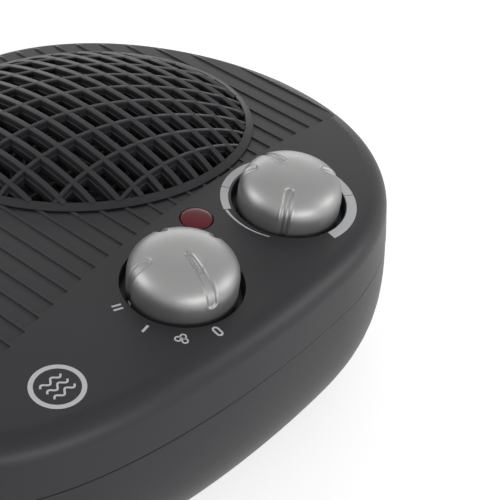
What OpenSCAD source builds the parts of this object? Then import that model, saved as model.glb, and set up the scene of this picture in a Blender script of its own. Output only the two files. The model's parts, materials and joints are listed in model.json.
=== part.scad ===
// Fan heater lying on its back with the face up, as an assembly of separate pieces.
// X runs from the foot to the arched top, Y from the controls to the far side, Z out of the face.
// The origin is at the middle of the outline, on the plane of the back.

/* [Housing] */
// Height of the flat face above the back
depth = 88.5; // [80:0.5:100]
// Reach of the outline from its widest point to the arched top
top_reach = 96.5; // [90:0.5:110]
// Reach of the outline from its widest point to the foot
foot_reach = 172; // [158:0.5:182]
// Reach that the lower oval would have if no foot cut it off
oval_reach = 203; // [190:1:230]
// Half width beside the controls
near_half = 92.3; // [88:0.1:105]
// Half width on the far side
far_half = 115.5; // [112:0.5:128]
// Exponent of the oval beside the controls, where 2 is an ellipse
near_exponent = 2.2; // [2:0.05:2.4]
// Exponent of the oval at the far side of the top
far_exponent = 1.85; // [1.8:0.01:2.2]
// Wall thickness of both shells
wall = 2.5; // [2:0.1:3]
// Radius of the edge round the face
edge_r = 10.2; // [8:0.1:14]
// How far the wall draws in from the parting line up to that edge
front_draft = 2.2; // [0.5:0.1:3]
// How far the wall swells out below the parting line
side_swell = 2.5; // [0.5:0.1:4]
// Height of the rounding round the back
back_r = 39.5; // [30:0.5:42]
// How far that rounding draws in
back_inset = 34.5; // [26:0.5:38]
// Distance from the face down to the parting line
parting_drop = 23; // [19:0.5:28]
// Open gap in the parting line
parting_gap = 0.6; // [0.3:0.1:1]
// Height of the lip that centres the front shell
lip_h = 5; // [3:0.5:8]
// Clearance between pieces that sit in each other
fit_gap = 0.3; // [0.2:0.05:0.4]

/* [Ribbed face] */
// Distance between the ribs, which carry on as the thick bars of the grille
rib_pitch = 8.13; // [7.5:0.01:9]
// Shift of the rib pattern from the middle of the controls
rib_shift = -7.46; // [-8:0.01:-6]
// Width of a rib
rib_w = 1.5; // [1:0.1:2.5]
// Depth of the sunk panels between the ribs
panel_d = 0.6; // [0.4:0.1:1]
// Distance from the knob row to the arc where the ribs end
rib_start = 29.9; // [27:0.1:32]
// Radius of that arc
rib_arc_r = 525; // [400:5:800]

/* [Grille] */
// Distance of the grille's middle from the knob row
grille_rise = 90.7; // [86:0.1:95]
// Distance of the grille's middle from the middle of the controls, towards the top
grille_side = 13.8; // [8:0.1:18]
// Long half axis of the grille
grille_long = 71.9; // [66:0.1:76]
// Short half axis of the grille
grille_short = 56.2; // [51:0.1:60]
// Direction of the long axis
grille_turn = 148.3; // [135:0.1:160]
// Width of the rim
rim_w = 3.6; // [3:0.1:5]
// Height of the rim above the face
rim_h = 1.6; // [1:0.1:2.5]
// Rise of the dome above its rim
dome_h = 12.4; // [9:0.1:16]
// Width of the thick bars
bar_w = 2.7; // [2:0.1:3.4]
// Width of the thin bars that cross them
cross_w = 1.8; // [1.4:0.1:2.6]
// Depth of the bars
bar_d = 5.5; // [4:0.1:7]
// Distance between the thin bars at the middle of the controls
cross_pitch = 14.48; // [12:0.01:17]
// Depth of the skirt that locates the grille in the face
skirt_d = 6; // [4.5:0.5:8]

/* [Controls] */
// Distance between the two knob axes
knob_spacing = 66.4; // [62:0.1:72]
// Distance from the widest point of the outline down to the knob row
knob_row = 49.8; // [46:0.1:54]
// Distance from the widest point back to the middle of the controls
knob_back = 13.4; // [8:0.1:18]
// Diameter of a knob
knob_d = 41.2; // [38:0.1:44]
// Height of a knob's crown above the face
knob_rise = 15.5; // [13:0.5:20]
// Roundness of a knob, where 2 is an ellipse and more is squarer
knob_round = 2.6; // [2:0.1:3.5]
// Height above the face at which a knob starts to draw in
knob_side = 3.5; // [0:0.1:5]
// Diameter of the well that a knob sits in
well_d = 46; // [44:0.1:49]
// Depth of that well
well_depth = 6; // [5:0.5:8]
// Clearance under a knob
knob_float = 1; // [0.6:0.1:1.5]
// Diameter of the control shafts
shaft_d = 6; // [5:0.1:7]
// Running clearance on the radius of each shaft
run_gap = 0.05; // [0.02:0.01:0.1]
// Diameter of the pilot lamp's lens
lens_d = 12.6; // [10:0.1:14]
// Distance of the lens from the knob row
lens_rise = 19.1; // [18.5:0.1:21]
// Distance of the lens from the middle of the knobs, towards the foot
lens_back = 1.6; // [0:0.1:3]

/* [Air path] */
// Radius of the fan over its blade tips
fan_r = 42; // [38:0.5:44]
// Clearance between blade tips and duct
tip_gap = 2; // [1.5:0.1:3]
// Wall of the air duct
duct_wall = 2; // [1.5:0.1:2.5]
// Number of fan blades
blades = 7; // [5:1:9]
// Radius of the fan hub
hub_r = 13; // [11:0.5:15]
// Radius of the motor
motor_r = 21; // [18:0.5:23]
// Length of the motor
motor_len = 24; // [20:1:26]
// Diameter of the motor shaft
axle_d = 3.2; // [3:0.1:5]
// Radius of the heating coil over its windings
coil_r = 1.5; // [1.2:0.1:1.8]
// Turns of the heating coil in its flat spiral
coil_turns = 5; // [3:1:6]

/* [Fastenings] */
// Radius of the shell screws
screw_r = 1.6; // [1.3:0.1:2]
// Radius of the posts that take the shell screws
post_r = 4.5; // [4:0.1:5.5]
// Radius of the opening for the mains lead
lead_r = 3.6; // [3:0.1:4.5]
// How far the bosses of the feet stand out of the wall
foot_stand = 1; // [0.5:0.1:3]
// How far the rubber feet stand proud of those bosses
foot_proud = 1.5; // [1:0.1:2.5]

/* [Hidden] */

shell_color = "#3d3b3e";
inner_color = "#2b2a2c";
silver = "#a9a9a7";
steel = "#9b9da0";
brass = "#b08d4a";
mica = "#c9c2ae";
rubber = "#1c1c1c";

// How sharply the foot cuts the oval off, and the oval's exponents on the side of the foot.
foot_blend = 9;
near_low_exponent = 2.04;
far_low_exponent = 2.2;

// Places worked out from the sizes above.
face_z = depth;
parting_z = depth - parting_drop;
oval_x = (rim_radius(180) + foot_stand + foot_proud - top_reach) / 2;
oval_y = (near_half - far_half) / 2;
foot_x = oval_x - rim_radius(180) - side_swell - foot_stand;
mid_x = oval_x - knob_back;
row_y = oval_y - knob_row;
mode_x = mid_x - knob_spacing / 2;
thermo_x = mid_x + knob_spacing / 2;
lens_x = mid_x - lens_back;
lens_y = row_y + lens_rise;
grille_x = mid_x + grille_side;
grille_y = row_y + grille_rise;
rib_zero = mid_x + rib_shift;

// Radius of the outline in the direction t, with the foot blended in.
function half(t) = sin(t) > 0 ? far_half : near_half;
function reach(t) = cos(t) > 0 ? top_reach : oval_reach;
function near_power(t) = cos(t) > 0 ? near_exponent : near_low_exponent;
function far_power(t) = cos(t) > 0 ? far_exponent : far_low_exponent;
function power(t) = sin(t) > 0 ? far_power(t) : near_power(t);
function part_of(c, size, n) = pow(abs(c) / size, n);
function oval(t) = pow(part_of(cos(t), reach(t), power(t)) + part_of(sin(t), half(t), power(t)), -1 / power(t));
function foot_line(t) = max(0, -cos(t)) / foot_reach;
function rim_radius(t) = pow(pow(1 / oval(t), foot_blend) + pow(foot_line(t), foot_blend), -1 / foot_blend);
function rim_point(t) = [oval_x + rim_radius(t) * cos(t), oval_y + rim_radius(t) * sin(t)];
function unit(v) = v / norm(v);
function inward(t) = let (d = unit(rim_point(t + 1) - rim_point(t - 1))) [-d[1], d[0]];
facets = 84;
function inset_point(t, inset) = rim_point(t) + inset * inward(t);
function ring(inset) = [for (i = [0:facets - 1]) inset_point(360 * i / facets, inset)];

// A shell from a closed profile of [inset, height] pairs, capped at its first and last ring.
module loft(profile) {
    n = len(profile);
    rings = [for (p = profile) ring(p[0])];
    points = [for (k = [0:n - 1]) for (q = rings[k]) [q[0], q[1], profile[k][1]]];
    sides = [for (k = [0:n - 2]) for (i = [0:facets - 1]) let (j = (i + 1) % facets)
        [k * facets + i, (k + 1) * facets + i, (k + 1) * facets + j, k * facets + j]];
    first = [for (i = [0:facets - 1]) i];
    last = [for (i = [facets - 1:-1:0]) (n - 1) * facets + i];
    polyhedron(points, concat([first], sides, [last]), convexity = 8);
}

// A quarter of an ellipse as [inset, height] pairs, from the angle a to the angle b.
function quarter(size, x0, z0, a, b, steps) = [for (i = [0:steps]) let (t = a + (b - a) * i / steps)
    [x0 + size[0] * (1 - cos(t)), z0 + size[1] * sin(t)]];

// Ellipse of the grille, drawn in by inset.
function grille_point(t, inset) = let (p = (grille_long - inset) * cos(t), q = (grille_short - inset) * sin(t))
    [grille_x + p * cos(grille_turn) - q * sin(grille_turn),
     grille_y + p * sin(grille_turn) + q * cos(grille_turn)];
module grille_oval(inset) {
    polygon([for (i = [0:71]) grille_point(5 * i, inset)]);
}

// Knob wells, each a cup that hangs from the face.
well_wall = 1.8;
well_floor = 2;
floor_z = face_z - well_depth;
control_screw_x = 12;
control_screw_r = 1.4;
neck_r = 4.6;

module at_controls() {
    for (x = [mode_x, thermo_x]) translate([x, row_y, 0]) children();
}

module at_control_screws() {
    at_controls() for (s = [-1, 1]) translate([s * control_screw_x, 0, 0]) children();
}

// Shell screws stand near the rim, on posts of both shells.
post_angles = [2, 128, 170, 206, 262, 322];
post_inset = 26;
post_base = 12;
post_foot = wall + 0.1;
screw_hold = 12;
head_r = 3.1;
head_h = 2.2;
module at_posts() {
    for (t = post_angles) {
        p = inset_point(t, post_inset);
        translate([p[0], p[1], 0]) children();
    }
}

rib_low = -18;
rib_high = 12;
function panel_start(x) = rib_start + sqrt(rib_arc_r * rib_arc_r - x * x) - rib_arc_r;
module rib_panels() {
    for (k = [rib_low:rib_high]) {
        x = (k + 0.5) * rib_pitch;
        width = rib_pitch - rib_w;
        translate([rib_zero + x - width / 2, row_y + panel_start(x), face_z - panel_d])
            cube([width, near_half + far_half, panel_d + 1]);
    }
}

module front_profile() {
    inner_r = edge_r - wall;
    edge_z = face_z - edge_r;
    loft(concat(
        quarter([inner_r, inner_r], front_draft + wall, edge_z, 90, 10, 4),
        [[wall, parting_z], [0, parting_z]],
        quarter([edge_r, edge_r], front_draft, edge_z, 10, 90, 6)));
}

lens_seat = 6;
lens_top = 2;
lens_crown = 0.9;
lens_boss = 5;
lens_collar = 1.2;
module at_lens() {
    translate([lens_x, lens_y, face_z]) children();
}

module face_bosses() {
    at_controls() translate([0, 0, floor_z - well_floor])
        cylinder(h = well_depth + well_floor - wall / 2, d = well_d + 2 * well_wall, $fn = 96);
    at_posts() translate([0, 0, parting_z - lip_h])
        cylinder(h = parting_drop + lip_h - wall / 2, r = post_r, $fn = 48);
    at_lens() translate([0, 0, -lens_seat])
        cylinder(h = lens_seat - wall / 2, d = lens_d + lens_boss, $fn = 64);
}

module face_holes() {
    at_controls() {
        translate([0, 0, floor_z]) cylinder(h = well_depth + 1, d = well_d, $fn = 96);
        translate([0, 0, floor_z - well_floor - 1])
            cylinder(h = well_floor + 2, r = neck_r + fit_gap, $fn = 64);
    }
    at_control_screws() translate([0, 0, floor_z - well_floor - 1])
        cylinder(h = well_floor + 2, r = control_screw_r + fit_gap, $fn = 32);
    at_posts() translate([0, 0, parting_z - lip_h - 1]) cylinder(h = screw_hold + 2, r = screw_r, $fn = 32);
    at_lens() {
        translate([0, 0, -lens_seat - 1])
            cylinder(h = lens_seat - lens_top + 1, r = lens_d / 2 + lens_collar + fit_gap, $fn = 64);
        translate([0, 0, -lens_seat]) cylinder(h = lens_seat + 1, r = lens_d / 2 + fit_gap, $fn = 64);
    }
    translate([0, 0, face_z - wall - 1]) linear_extrude(wall + 2) grille_oval(rim_w - 1);
}

module front_shell() color(shell_color) difference() {
    union() {
        front_profile();
        face_bosses();
    }
    face_holes();
    rib_panels();
}

// The pilot lamp's lens: a low dome over a collar that stops under the face.
lens_wall = 1.2;
lens_floor = 3.5;
module indicator_lens() color("#7c2a33") at_lens() rotate_extrude($fn = 96) {
    out = lens_d / 2;
    low = fit_gap - lens_seat;
    high = -lens_top - fit_gap / 3;
    polygon(concat(
        [[0, -lens_floor], [out - lens_wall, -lens_floor], [out - lens_wall, low]],
        [[out + lens_collar, low], [out + lens_collar, high], [out, high]],
        [for (a = [0:10:90]) [out * cos(a), lens_crown * sin(a)]]));
}

// The lamp stands in a cup that closes the lens from below.
lamp_r = 3;
lamp_len = 14;
cup_h = 5;
module indicator_lamp() color("#d9c9b8") at_lens() translate([0, 0, -lens_seat]) {
    translate([0, 0, -lamp_len]) cylinder(h = lamp_len + 0.2, r = lamp_r, $fn = 48);
    difference() {
        translate([0, 0, -cup_h]) cylinder(h = cup_h, r = lens_d / 2 + lens_collar, $fn = 64);
        translate([0, 0, -cup_h + 2]) cylinder(h = cup_h, r = lens_d / 2 - lens_wall, $fn = 64);
    }
}

// The rear shell: a bowl with a centring lip, posts, intake slots and the opening for the lead.
slot_w = 4;
slot_pitch = 7.4;
slot_count = 5;
intake_r = 40;
spine_w = 4;
inlet_wall = 2.6;
inlet_r = lead_r + inlet_wall;
inlet_turn = 140;
inlet_z = back_r + 2;
inlet_len = 12;
inlet_flange = 1.4;
duct_r = fan_r + tip_gap;
duct_out = duct_r + duct_wall;
duct_base = 4;
duct_seat = 7;
seat_wall = 2;
foot_r = 5;
foot_len = 22;
foot_spread = 38;
foot_shift = 8;
foot_z = 34;
foot_seat = 1;
foot_boss = 7;
lip_wall = 1.4;
lip_taper = 4;
// The lip leans in with the draft of the front shell's wall.
lip_lean = (lip_h - parting_gap) * front_draft / (parting_drop - edge_r);

function side_curve(a, b, steps) = [for (i = [0:steps]) let (t = a + (b - a) * i / steps)
    [-side_swell * cos(90 * t), back_r + (parting_z - parting_gap - back_r) * t]];

module rear_profile() {
    top = parting_z - parting_gap;
    lip_in = wall + fit_gap;
    loft(concat(
        quarter([back_inset, -back_r], -side_swell, back_r, 90, 0, 7),
        side_curve(0.25, 1, 3),
        [[lip_in, top], [lip_in + lip_lean, top + lip_h], [lip_in + lip_lean + lip_wall, top + lip_h]],
        [[lip_in + lip_wall, top - lip_taper / 2], [wall, top - lip_taper]],
        [[wall - side_swell * 0.8, back_r + lip_taper]],
        quarter([back_inset - wall / 2, wall - back_r], wall - side_swell, back_r, 0, 90, 5)));
}

module at_grille_axis(z = 0) {
    translate([grille_x, grille_y, z]) children();
}

module at_lead_inlet() {
    p = inset_point(inlet_turn, -side_swell);
    n = inward(inlet_turn);
    translate([p[0], p[1], inlet_z]) rotate([0, 90, atan2(n[1], n[0])]) children();
}

// A long pad or its boss, standing on the foot with its length along the depth.
module at_feet() {
    for (s = [-1, 1]) translate([foot_x, oval_y + foot_shift + s * foot_spread, foot_z]) rotate([0, 90, 0]) children();
}

module long_pad(h, r) {
    for (x = [0, -foot_len]) translate([x, 0, 0]) cylinder(h = h, r = r, $fn = 48);
    translate([-foot_len, -r, 0]) cube([foot_len, 2 * r, h]);
}

module intake_slots() {
    for (k = [-slot_count:slot_count]) {
        x = k * slot_pitch;
        reach = sqrt(intake_r * intake_r - x * x);
        for (s = [-1, 1]) translate([x - slot_w / 2, s > 0 ? spine_w / 2 : -reach, 0])
            cube([slot_w, reach - spine_w / 2, 2 * wall]);
    }
}

module rear_shell() color(shell_color) difference() {
    union() {
        rear_profile();
        at_posts() translate([0, 0, post_foot])
            cylinder(h = parting_z - lip_h - fit_gap - post_foot, r = post_r, $fn = 48);
        at_grille_axis(wall / 2)
            cylinder(h = duct_seat - wall / 2, r = duct_out + fit_gap + seat_wall, $fn = 128);
        at_feet() long_pad(foot_boss, foot_r + 2);
    }
    at_posts() {
        translate([0, 0, -1]) cylinder(h = parting_z, r = screw_r + fit_gap, $fn = 32);
        translate([0, 0, -1]) cylinder(h = post_base + 1, r = head_r + fit_gap, $fn = 48);
    }
    at_grille_axis(duct_base) cylinder(h = duct_seat, r = duct_out + fit_gap, $fn = 128);
    at_grille_axis(wall) cylinder(h = duct_seat, r = intake_r + 1, $fn = 128);
    at_grille_axis(-wall / 2) intake_slots();
    at_lead_inlet() translate([0, 0, -wall]) cylinder(h = inlet_len + 2 * wall, r = inlet_r, $fn = 48);
    at_feet() translate([0, 0, -1]) long_pad(foot_seat + 1, foot_r + fit_gap);
}

screw_len = parting_z - lip_h - post_base + screw_hold - 1;
slot_l = 3.8;
module shell_screws() color(steel) at_posts() difference() {
    union() {
        translate([0, 0, post_base - head_h]) cylinder(h = head_h, r = head_r, $fn = 48);
        translate([0, 0, post_base - 0.2]) cylinder(h = screw_len + 0.2, r = screw_r - run_gap, $fn = 32);
    }
    for (a = [0, 90]) translate([0, 0, post_base - head_h - 1]) rotate([0, 0, a])
        translate([-slot_l / 2, -0.4, 0]) cube([slot_l, 0.8, 2]);
}

module rubber_feet() color(rubber) at_feet()
    translate([0, 0, -foot_proud]) long_pad(foot_proud + foot_seat, foot_r);

// A flanged bush that lines the opening for the mains lead.
module lead_inlet() color(inner_color) at_lead_inlet() difference() {
    union() {
        translate([0, 0, -inlet_flange]) cylinder(h = inlet_flange, r = inlet_r + 2, $fn = 64);
        translate([0, 0, -0.1]) cylinder(h = inlet_len + 0.1, r = inlet_r - run_gap, $fn = 48);
    }
    translate([0, 0, -inlet_flange - 1]) cylinder(h = inlet_len + inlet_flange + 2, r = lead_r, $fn = 48);
}

// The grille: bars that follow a dome over the oval, fused to a rim with a locating skirt.
function along(x, y) = (x - grille_x) * cos(grille_turn) + (y - grille_y) * sin(grille_turn);
function across(x, y) = (y - grille_y) * cos(grille_turn) - (x - grille_x) * sin(grille_turn);
cross_end = 0.95;
function grille_rho(x, y) = pow(along(x, y) / grille_long, 2) + pow(across(x, y) / grille_short, 2);
// Near the rim the dome flattens a little more, so that the bars end flush with the rim.
flat_from = 0.62;
flat_to = 0.9;
flat_drop = 1.1;
function flatten(rho) = flat_drop * pow(max(0, (rho - flat_from) / (flat_to - flat_from)), 2);
function dome_z(x, y) = let (rho = grille_rho(x, y)) face_z + rim_h + dome_h * max(0, 1 - rho) - flatten(rho);

// A bar with a flat section, whose top follows the dome over the points of its path.
function side_step(path, i, width) = let (n = len(path),
    d = unit(path[min(i + 1, n - 1)] - path[max(i - 1, 0)])) [-d[1], d[0]] * width / 2;
module bar(path, width) {
    n = len(path);
    points = [for (i = [0:n - 1]) let (p = path[i], w = side_step(path, i, width), z = dome_z(p[0], p[1]))
        each [[p[0] - w[0], p[1] - w[1], z - bar_d], [p[0] + w[0], p[1] + w[1], z - bar_d],
              [p[0] + w[0], p[1] + w[1], z], [p[0] - w[0], p[1] - w[1], z]]];
    sides = [for (i = [0:n - 2]) for (c = [0:3]) let (d = (c + 1) % 4)
        [4 * i + c, 4 * i + 4 + c, 4 * i + 4 + d, 4 * i + d]];
    last = [for (c = [1:4]) 4 * n - c];
    polyhedron(points, concat([[0, 1, 2, 3]], sides, [last]), convexity = 6);
}

// Where a line of constant x crosses the oval: [lower, upper] distances from its middle.
bar_steps = 7;
bar_least = 8;
function chord(dx, inset) = let (a = pow(grille_long - inset, -2), b = pow(grille_short - inset, -2),
    c = cos(grille_turn), s = sin(grille_turn),
    p = s * s * a + c * c * b, q = c * s * (a - b), r = c * c * a + s * s * b,
    d = q * q * dx * dx - p * (r * dx * dx - 1))
    d <= 0 ? [0, 0] : [(-q * dx - sqrt(d)) / p, (-q * dx + sqrt(d)) / p];
module thick_bars() {
    reach = ceil(grille_long / rib_pitch) + 1;
    for (k = [-reach:reach]) {
        x = rib_zero + (k + 2) * rib_pitch;
        c = chord(x - grille_x, rim_w / 2);
        step = (c[1] - c[0]) / bar_steps;
        if (c[1] - c[0] > bar_least) bar([for (i = [0:bar_steps]) [x, grille_y + c[0] + step * i]], bar_w);
    }
}

// The thin bars: flat arcs of one bend, whose slope grows with their number up to the steepest.
cross_first = 31.9;
cross_slope = [0.1, -0.17, 0.0125];
cross_bend = -0.0075;
cross_count = 9;
cross_steepest = 7;
cross_edge = 0.93;
function slope_of(m) = cross_slope[0] + cross_slope[1] * m + cross_slope[2] * m * m;
function cross_y(k, u) = row_y + cross_first + cross_pitch * k
    + slope_of(min(k, cross_steepest)) * u + cross_bend * u * u / 2;
function cross_rho(k, u) = grille_rho(mid_x + u, cross_y(k, u));
function rim_hit(k, u, step) = cross_rho(k, u + step) > cross_end ? u + step : rim_hit(k, u + step, step);
module thin_bars() {
    for (k = [1:cross_count]) {
        inner = [for (u = [-grille_long:9:grille_long + 2 * grille_side]) if (cross_rho(k, u) < cross_edge) u];
        if (len(inner) > 1) {
            ends = [rim_hit(k, inner[0], -0.5), rim_hit(k, inner[len(inner) - 1], 0.5)];
            bar([for (u = concat([ends[0]], inner, [ends[1]])) [mid_x + u, cross_y(k, u)]], cross_w);
        }
    }
}

// Below the rim the bars end inside the skirt, clear of the front shell.
bar_hold = 0.3;
module skirt_outside() {
    translate([0, 0, face_z - 2 * skirt_d]) linear_extrude(2 * skirt_d + rim_h / 2) difference() {
        grille_oval(-rim_w);
        grille_oval(rim_w - bar_hold);
    }
}

clip_angles = [15:45:330];
clip_w = 4.2;
clip_h = 2.4;
module front_grille() color(shell_color) {
    difference() {
        union() {
            thick_bars();
            thin_bars();
        }
        skirt_outside();
    }
    translate([0, 0, face_z]) linear_extrude(rim_h) difference() {
        grille_oval(0);
        grille_oval(rim_w);
    }
    translate([0, 0, face_z - skirt_d]) linear_extrude(skirt_d + rim_h) difference() {
        grille_oval(rim_w - 1 + fit_gap);
        grille_oval(rim_w + 1);
    }
    for (t = clip_angles) {
        p = grille_point(t, rim_w - 1 + fit_gap);
        translate([p[0] - clip_w / 2, p[1] - clip_w / 2, face_z - skirt_d]) cube([clip_w, clip_w, clip_h]);
    }
}

// A knob: turned outside, hollow inside, with four grooves that run over its shoulder.
knob_bottom = knob_float - well_depth;
knob_shell = 2.2;
hub_out = 5.5;
groove_w = 3.8;
groove_deep = 0.8;
groove_inner = 13.5;
pointer_inner = 3;
groove_foot = 5;
shaft_grip = 13;
mode_rest = 251;
thermo_rest = 212;
function knob_profile(inset) = let (r = knob_d / 2 - inset, rise = knob_rise - knob_side - inset)
    concat([[0, knob_bottom]], [for (a = [0:6:90])
        [r * pow(sin(a), 2 / knob_round), knob_side + rise * pow(cos(a), 2 / knob_round)]], [[r, knob_bottom]]);

module groove(inner, foot) {
    translate([inner, 0, foot]) cylinder(h = knob_rise, d = groove_w, $fn = 48);
    translate([inner, -groove_w / 2, foot]) cube([knob_d, groove_w, knob_rise]);
    translate([inner, 0, foot]) rotate([0, 90, 0]) cylinder(h = knob_d, d = groove_w, $fn = 48);
}

module knob(pointer, foot) difference() {
    rotate_extrude($fn = 128) polygon(knob_profile(0));
    difference() {
        union() {
            groove(pointer, foot);
            for (a = [90:90:270]) rotate([0, 0, a]) groove(groove_inner, foot);
        }
        rotate_extrude($fn = 128) polygon(knob_profile(groove_deep));
    }
    difference() {
        translate([0, 0, -0.1]) rotate_extrude($fn = 96) polygon(knob_profile(knob_shell));
        translate([0, 0, knob_bottom - 1]) cylinder(h = 2 * knob_rise, r = hub_out, $fn = 64);
    }
    translate([0, 0, knob_bottom - 1]) cylinder(h = shaft_grip + 1, r = shaft_d / 2, $fn = 48);
}

module mode_knob() color(silver) translate([mode_x, row_y, face_z]) rotate([0, 0, mode_rest])
    knob(pointer_inner, groove_foot);
module thermostat_knob() color(silver) translate([thermo_x, row_y, face_z]) rotate([0, 0, thermo_rest])
    knob(groove_inner, knob_side);

// Each shaft turns in the neck of its control and grips its knob.
body_w = 30;
body_h = 15;
body_top = floor_z - well_floor;
shaft_seat = 3;
neck_h = well_floor + 0.5;
tab_t = 0.8;
tab_w = 4.8;
tab_h = 7;
screw_deep = 8;
module shaft(x) {
    low = body_top - body_h + shaft_seat;
    translate([x, row_y, low]) cylinder(h = face_z + knob_bottom + shaft_grip - low, r = shaft_d / 2, $fn = 48);
}

module mode_shaft() color(steel) shaft(mode_x);
module thermostat_shaft() color(steel) shaft(thermo_x);

module control_body(x, tabs) {
    difference() {
        union() {
            translate([x - body_w / 2, row_y - body_w / 2, body_top - body_h]) cube([body_w, body_w, body_h]);
            translate([x, row_y, body_top - 0.1]) cylinder(h = neck_h + 0.1, r = neck_r, $fn = 64);
            for (i = [1:tabs]) translate([x - body_w / 2 + body_w * i / (tabs + 1), row_y - tab_w / 2,
                body_top - body_h - tab_h]) cube([tab_t, tab_w, tab_h + 0.1]);
        }
        translate([x, row_y, body_top - body_h + shaft_seat])
            cylinder(h = body_h, r = shaft_d / 2 + run_gap, $fn = 48);
        for (s = [-1, 1]) translate([x + s * control_screw_x, row_y, body_top - screw_deep])
            cylinder(h = screw_deep + 1, r = control_screw_r, $fn = 32);
    }
}

module mode_switch() color(inner_color) control_body(mode_x, 4);
module thermostat() color("#d8d5cc") control_body(thermo_x, 2);
module control_screws() color(steel) at_control_screws() {
    translate([0, 0, floor_z]) cylinder(h = 1.6, r = 2.6, $fn = 32);
    translate([0, 0, body_top - screw_deep + 0.5])
        cylinder(h = screw_deep - 0.4 + well_floor, r = control_screw_r - run_gap, $fn = 32);
}

// Air path: duct, fan, motor on a three-legged bracket, and the heater over the fan.
duct_drop = 11;
duct_top = face_z - duct_drop;
board_drop = 17.5;
board_z = duct_top - board_drop;
board_h = 9;
board_t = 1.2;
board_gap = 0.1;
fan_z = 40;
fan_h = 14;
bracket_z = 33;
bracket_t = 2;
leg_w = 8;
lug_r = duct_r - 3;
lug_screw_r = 1.2;
leg_angles = [90:120:330];
module at_legs() {
    for (a = leg_angles) rotate([0, 0, a]) children();
}

module duct_lugs() {
    at_legs() translate([duct_out - leg_w, -leg_w / 2, bracket_z - leg_w]) cube([leg_w, leg_w, leg_w]);
}

module air_duct() color(inner_color) at_grille_axis() difference() {
    union() {
        difference() {
            translate([0, 0, duct_base]) cylinder(h = duct_top - duct_base, r = duct_out, $fn = 128);
            translate([0, 0, duct_base - 1]) cylinder(h = duct_top, r = duct_r, $fn = 128);
        }
        intersection() {
            duct_lugs();
            cylinder(h = duct_top, r = duct_out - 0.5, $fn = 128);
        }
    }
    for (a = [0:90:270]) rotate([0, 0, a]) translate([duct_r - 2, -board_t / 2 - board_gap, board_z])
        cube([duct_wall + 4, board_t + 2 * board_gap, duct_top]);
    at_legs() translate([lug_r, 0, bracket_z - leg_w - 1]) cylinder(h = leg_w + 2, r = lug_screw_r, $fn = 24);
}

module motor_bracket() color(steel) at_grille_axis(bracket_z) difference() {
    union() {
        cylinder(h = bracket_t, r = motor_r, $fn = 96);
        at_legs() translate([0, -leg_w / 2, 0]) cube([duct_r - 0.4, leg_w, bracket_t]);
    }
    translate([0, 0, -1]) cylinder(h = bracket_t + 2, r = bush_out, $fn = 48);
    at_legs() translate([lug_r, 0, -1]) cylinder(h = bracket_t + 2, r = lug_screw_r + 0.2, $fn = 24);
}

module bracket_screws() color(steel) at_grille_axis(bracket_z) at_legs() translate([lug_r, 0, 0]) {
    translate([0, 0, bracket_t]) cylinder(h = 1.4, r = 2.2, $fn = 32);
    translate([0, 0, 2 - leg_w]) cylinder(h = leg_w + bracket_t - 1.8, r = lug_screw_r - run_gap / 2, $fn = 24);
}

bush_out = 4;
bush_h = 5;
vent_r = 2.4;
vent_out = motor_r - 7;
motor_foot = bracket_z - motor_len;
module motor_case() color(steel) at_grille_axis(motor_foot) difference() {
    cylinder(h = motor_len, r = motor_r, $fn = 96);
    translate([0, 0, -1]) cylinder(h = motor_len + 2, r = bush_out, $fn = 48);
    for (a = [30:60:330]) rotate([0, 0, a]) translate([vent_out, 0, -1])
        cylinder(h = motor_len - 3, r = vent_r, $fn = 32);
}

module motor_bushes() color(brass) at_grille_axis() for (z = [motor_foot, bracket_z + bracket_t - bush_h])
    translate([0, 0, z]) difference() {
        cylinder(h = bush_h, r = bush_out, $fn = 48);
        translate([0, 0, -1]) cylinder(h = bush_h + 2, r = axle_d / 2 + run_gap, $fn = 48);
    }

module motor_axle() color(steel) at_grille_axis(motor_foot - 1)
    cylinder(h = fan_z + fan_h - motor_foot, r = axle_d / 2, $fn = 48);

blade_t = 1.4;
blade_pitch = 34;
blade_chord = 21;
hub_wall = 2;
boss_wall = 2.5;
module blade() intersection() {
    translate([hub_r / 2, 0, fan_h / 2]) rotate([90 - blade_pitch, 0, 0])
        translate([0, -blade_chord / 2, -blade_t / 2]) cube([fan_r, blade_chord, blade_t]);
    rotate([0, 0, 180]) cylinder(h = fan_h, r = fan_r, $fn = 96);
}

module fan_impeller() color("#7d7f82") at_grille_axis(fan_z) difference() {
    union() {
        rotate([0, 0, 180 / blades]) cylinder(h = fan_h, r = hub_r, $fn = 96);
        for (a = [0:360 / blades:359]) rotate([0, 0, a]) blade();
    }
    difference() {
        rotate([0, 0, 180 / blades]) translate([0, 0, -1])
            cylinder(h = fan_h + 1 - hub_wall, r = hub_r - hub_wall, $fn = 96);
        translate([0, 0, -2]) cylinder(h = fan_h + 4, r = axle_d / 2 + boss_wall, $fn = 48);
    }
    translate([0, 0, -1]) cylinder(h = fan_h + 1, r = axle_d / 2, $fn = 48);
}

// The heater: crossed mica boards that carry one flat spiral of coiled wire.
coil_inner = 14;
coil_pitch = 5.4;
coil_z = board_z + board_h - 3.4;
coil_rings = 24;
coil_sides = 6;
module heater_boards() color(mica) at_grille_axis(board_z) difference() {
    union() for (a = [0, 90]) rotate([0, 0, a])
        translate([-duct_out, -board_t / 2, 0]) cube([2 * duct_out, board_t, board_h]);
    for (a = [0:90:270]) for (i = [0:coil_turns]) rotate([0, 0, a])
        translate([coil_inner + coil_pitch * (i + a / 360), 0, coil_z - board_z]) rotate([90, 0, 0])
            cylinder(h = 4, r = coil_r + fit_gap, center = true, $fn = 24);
}

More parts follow.
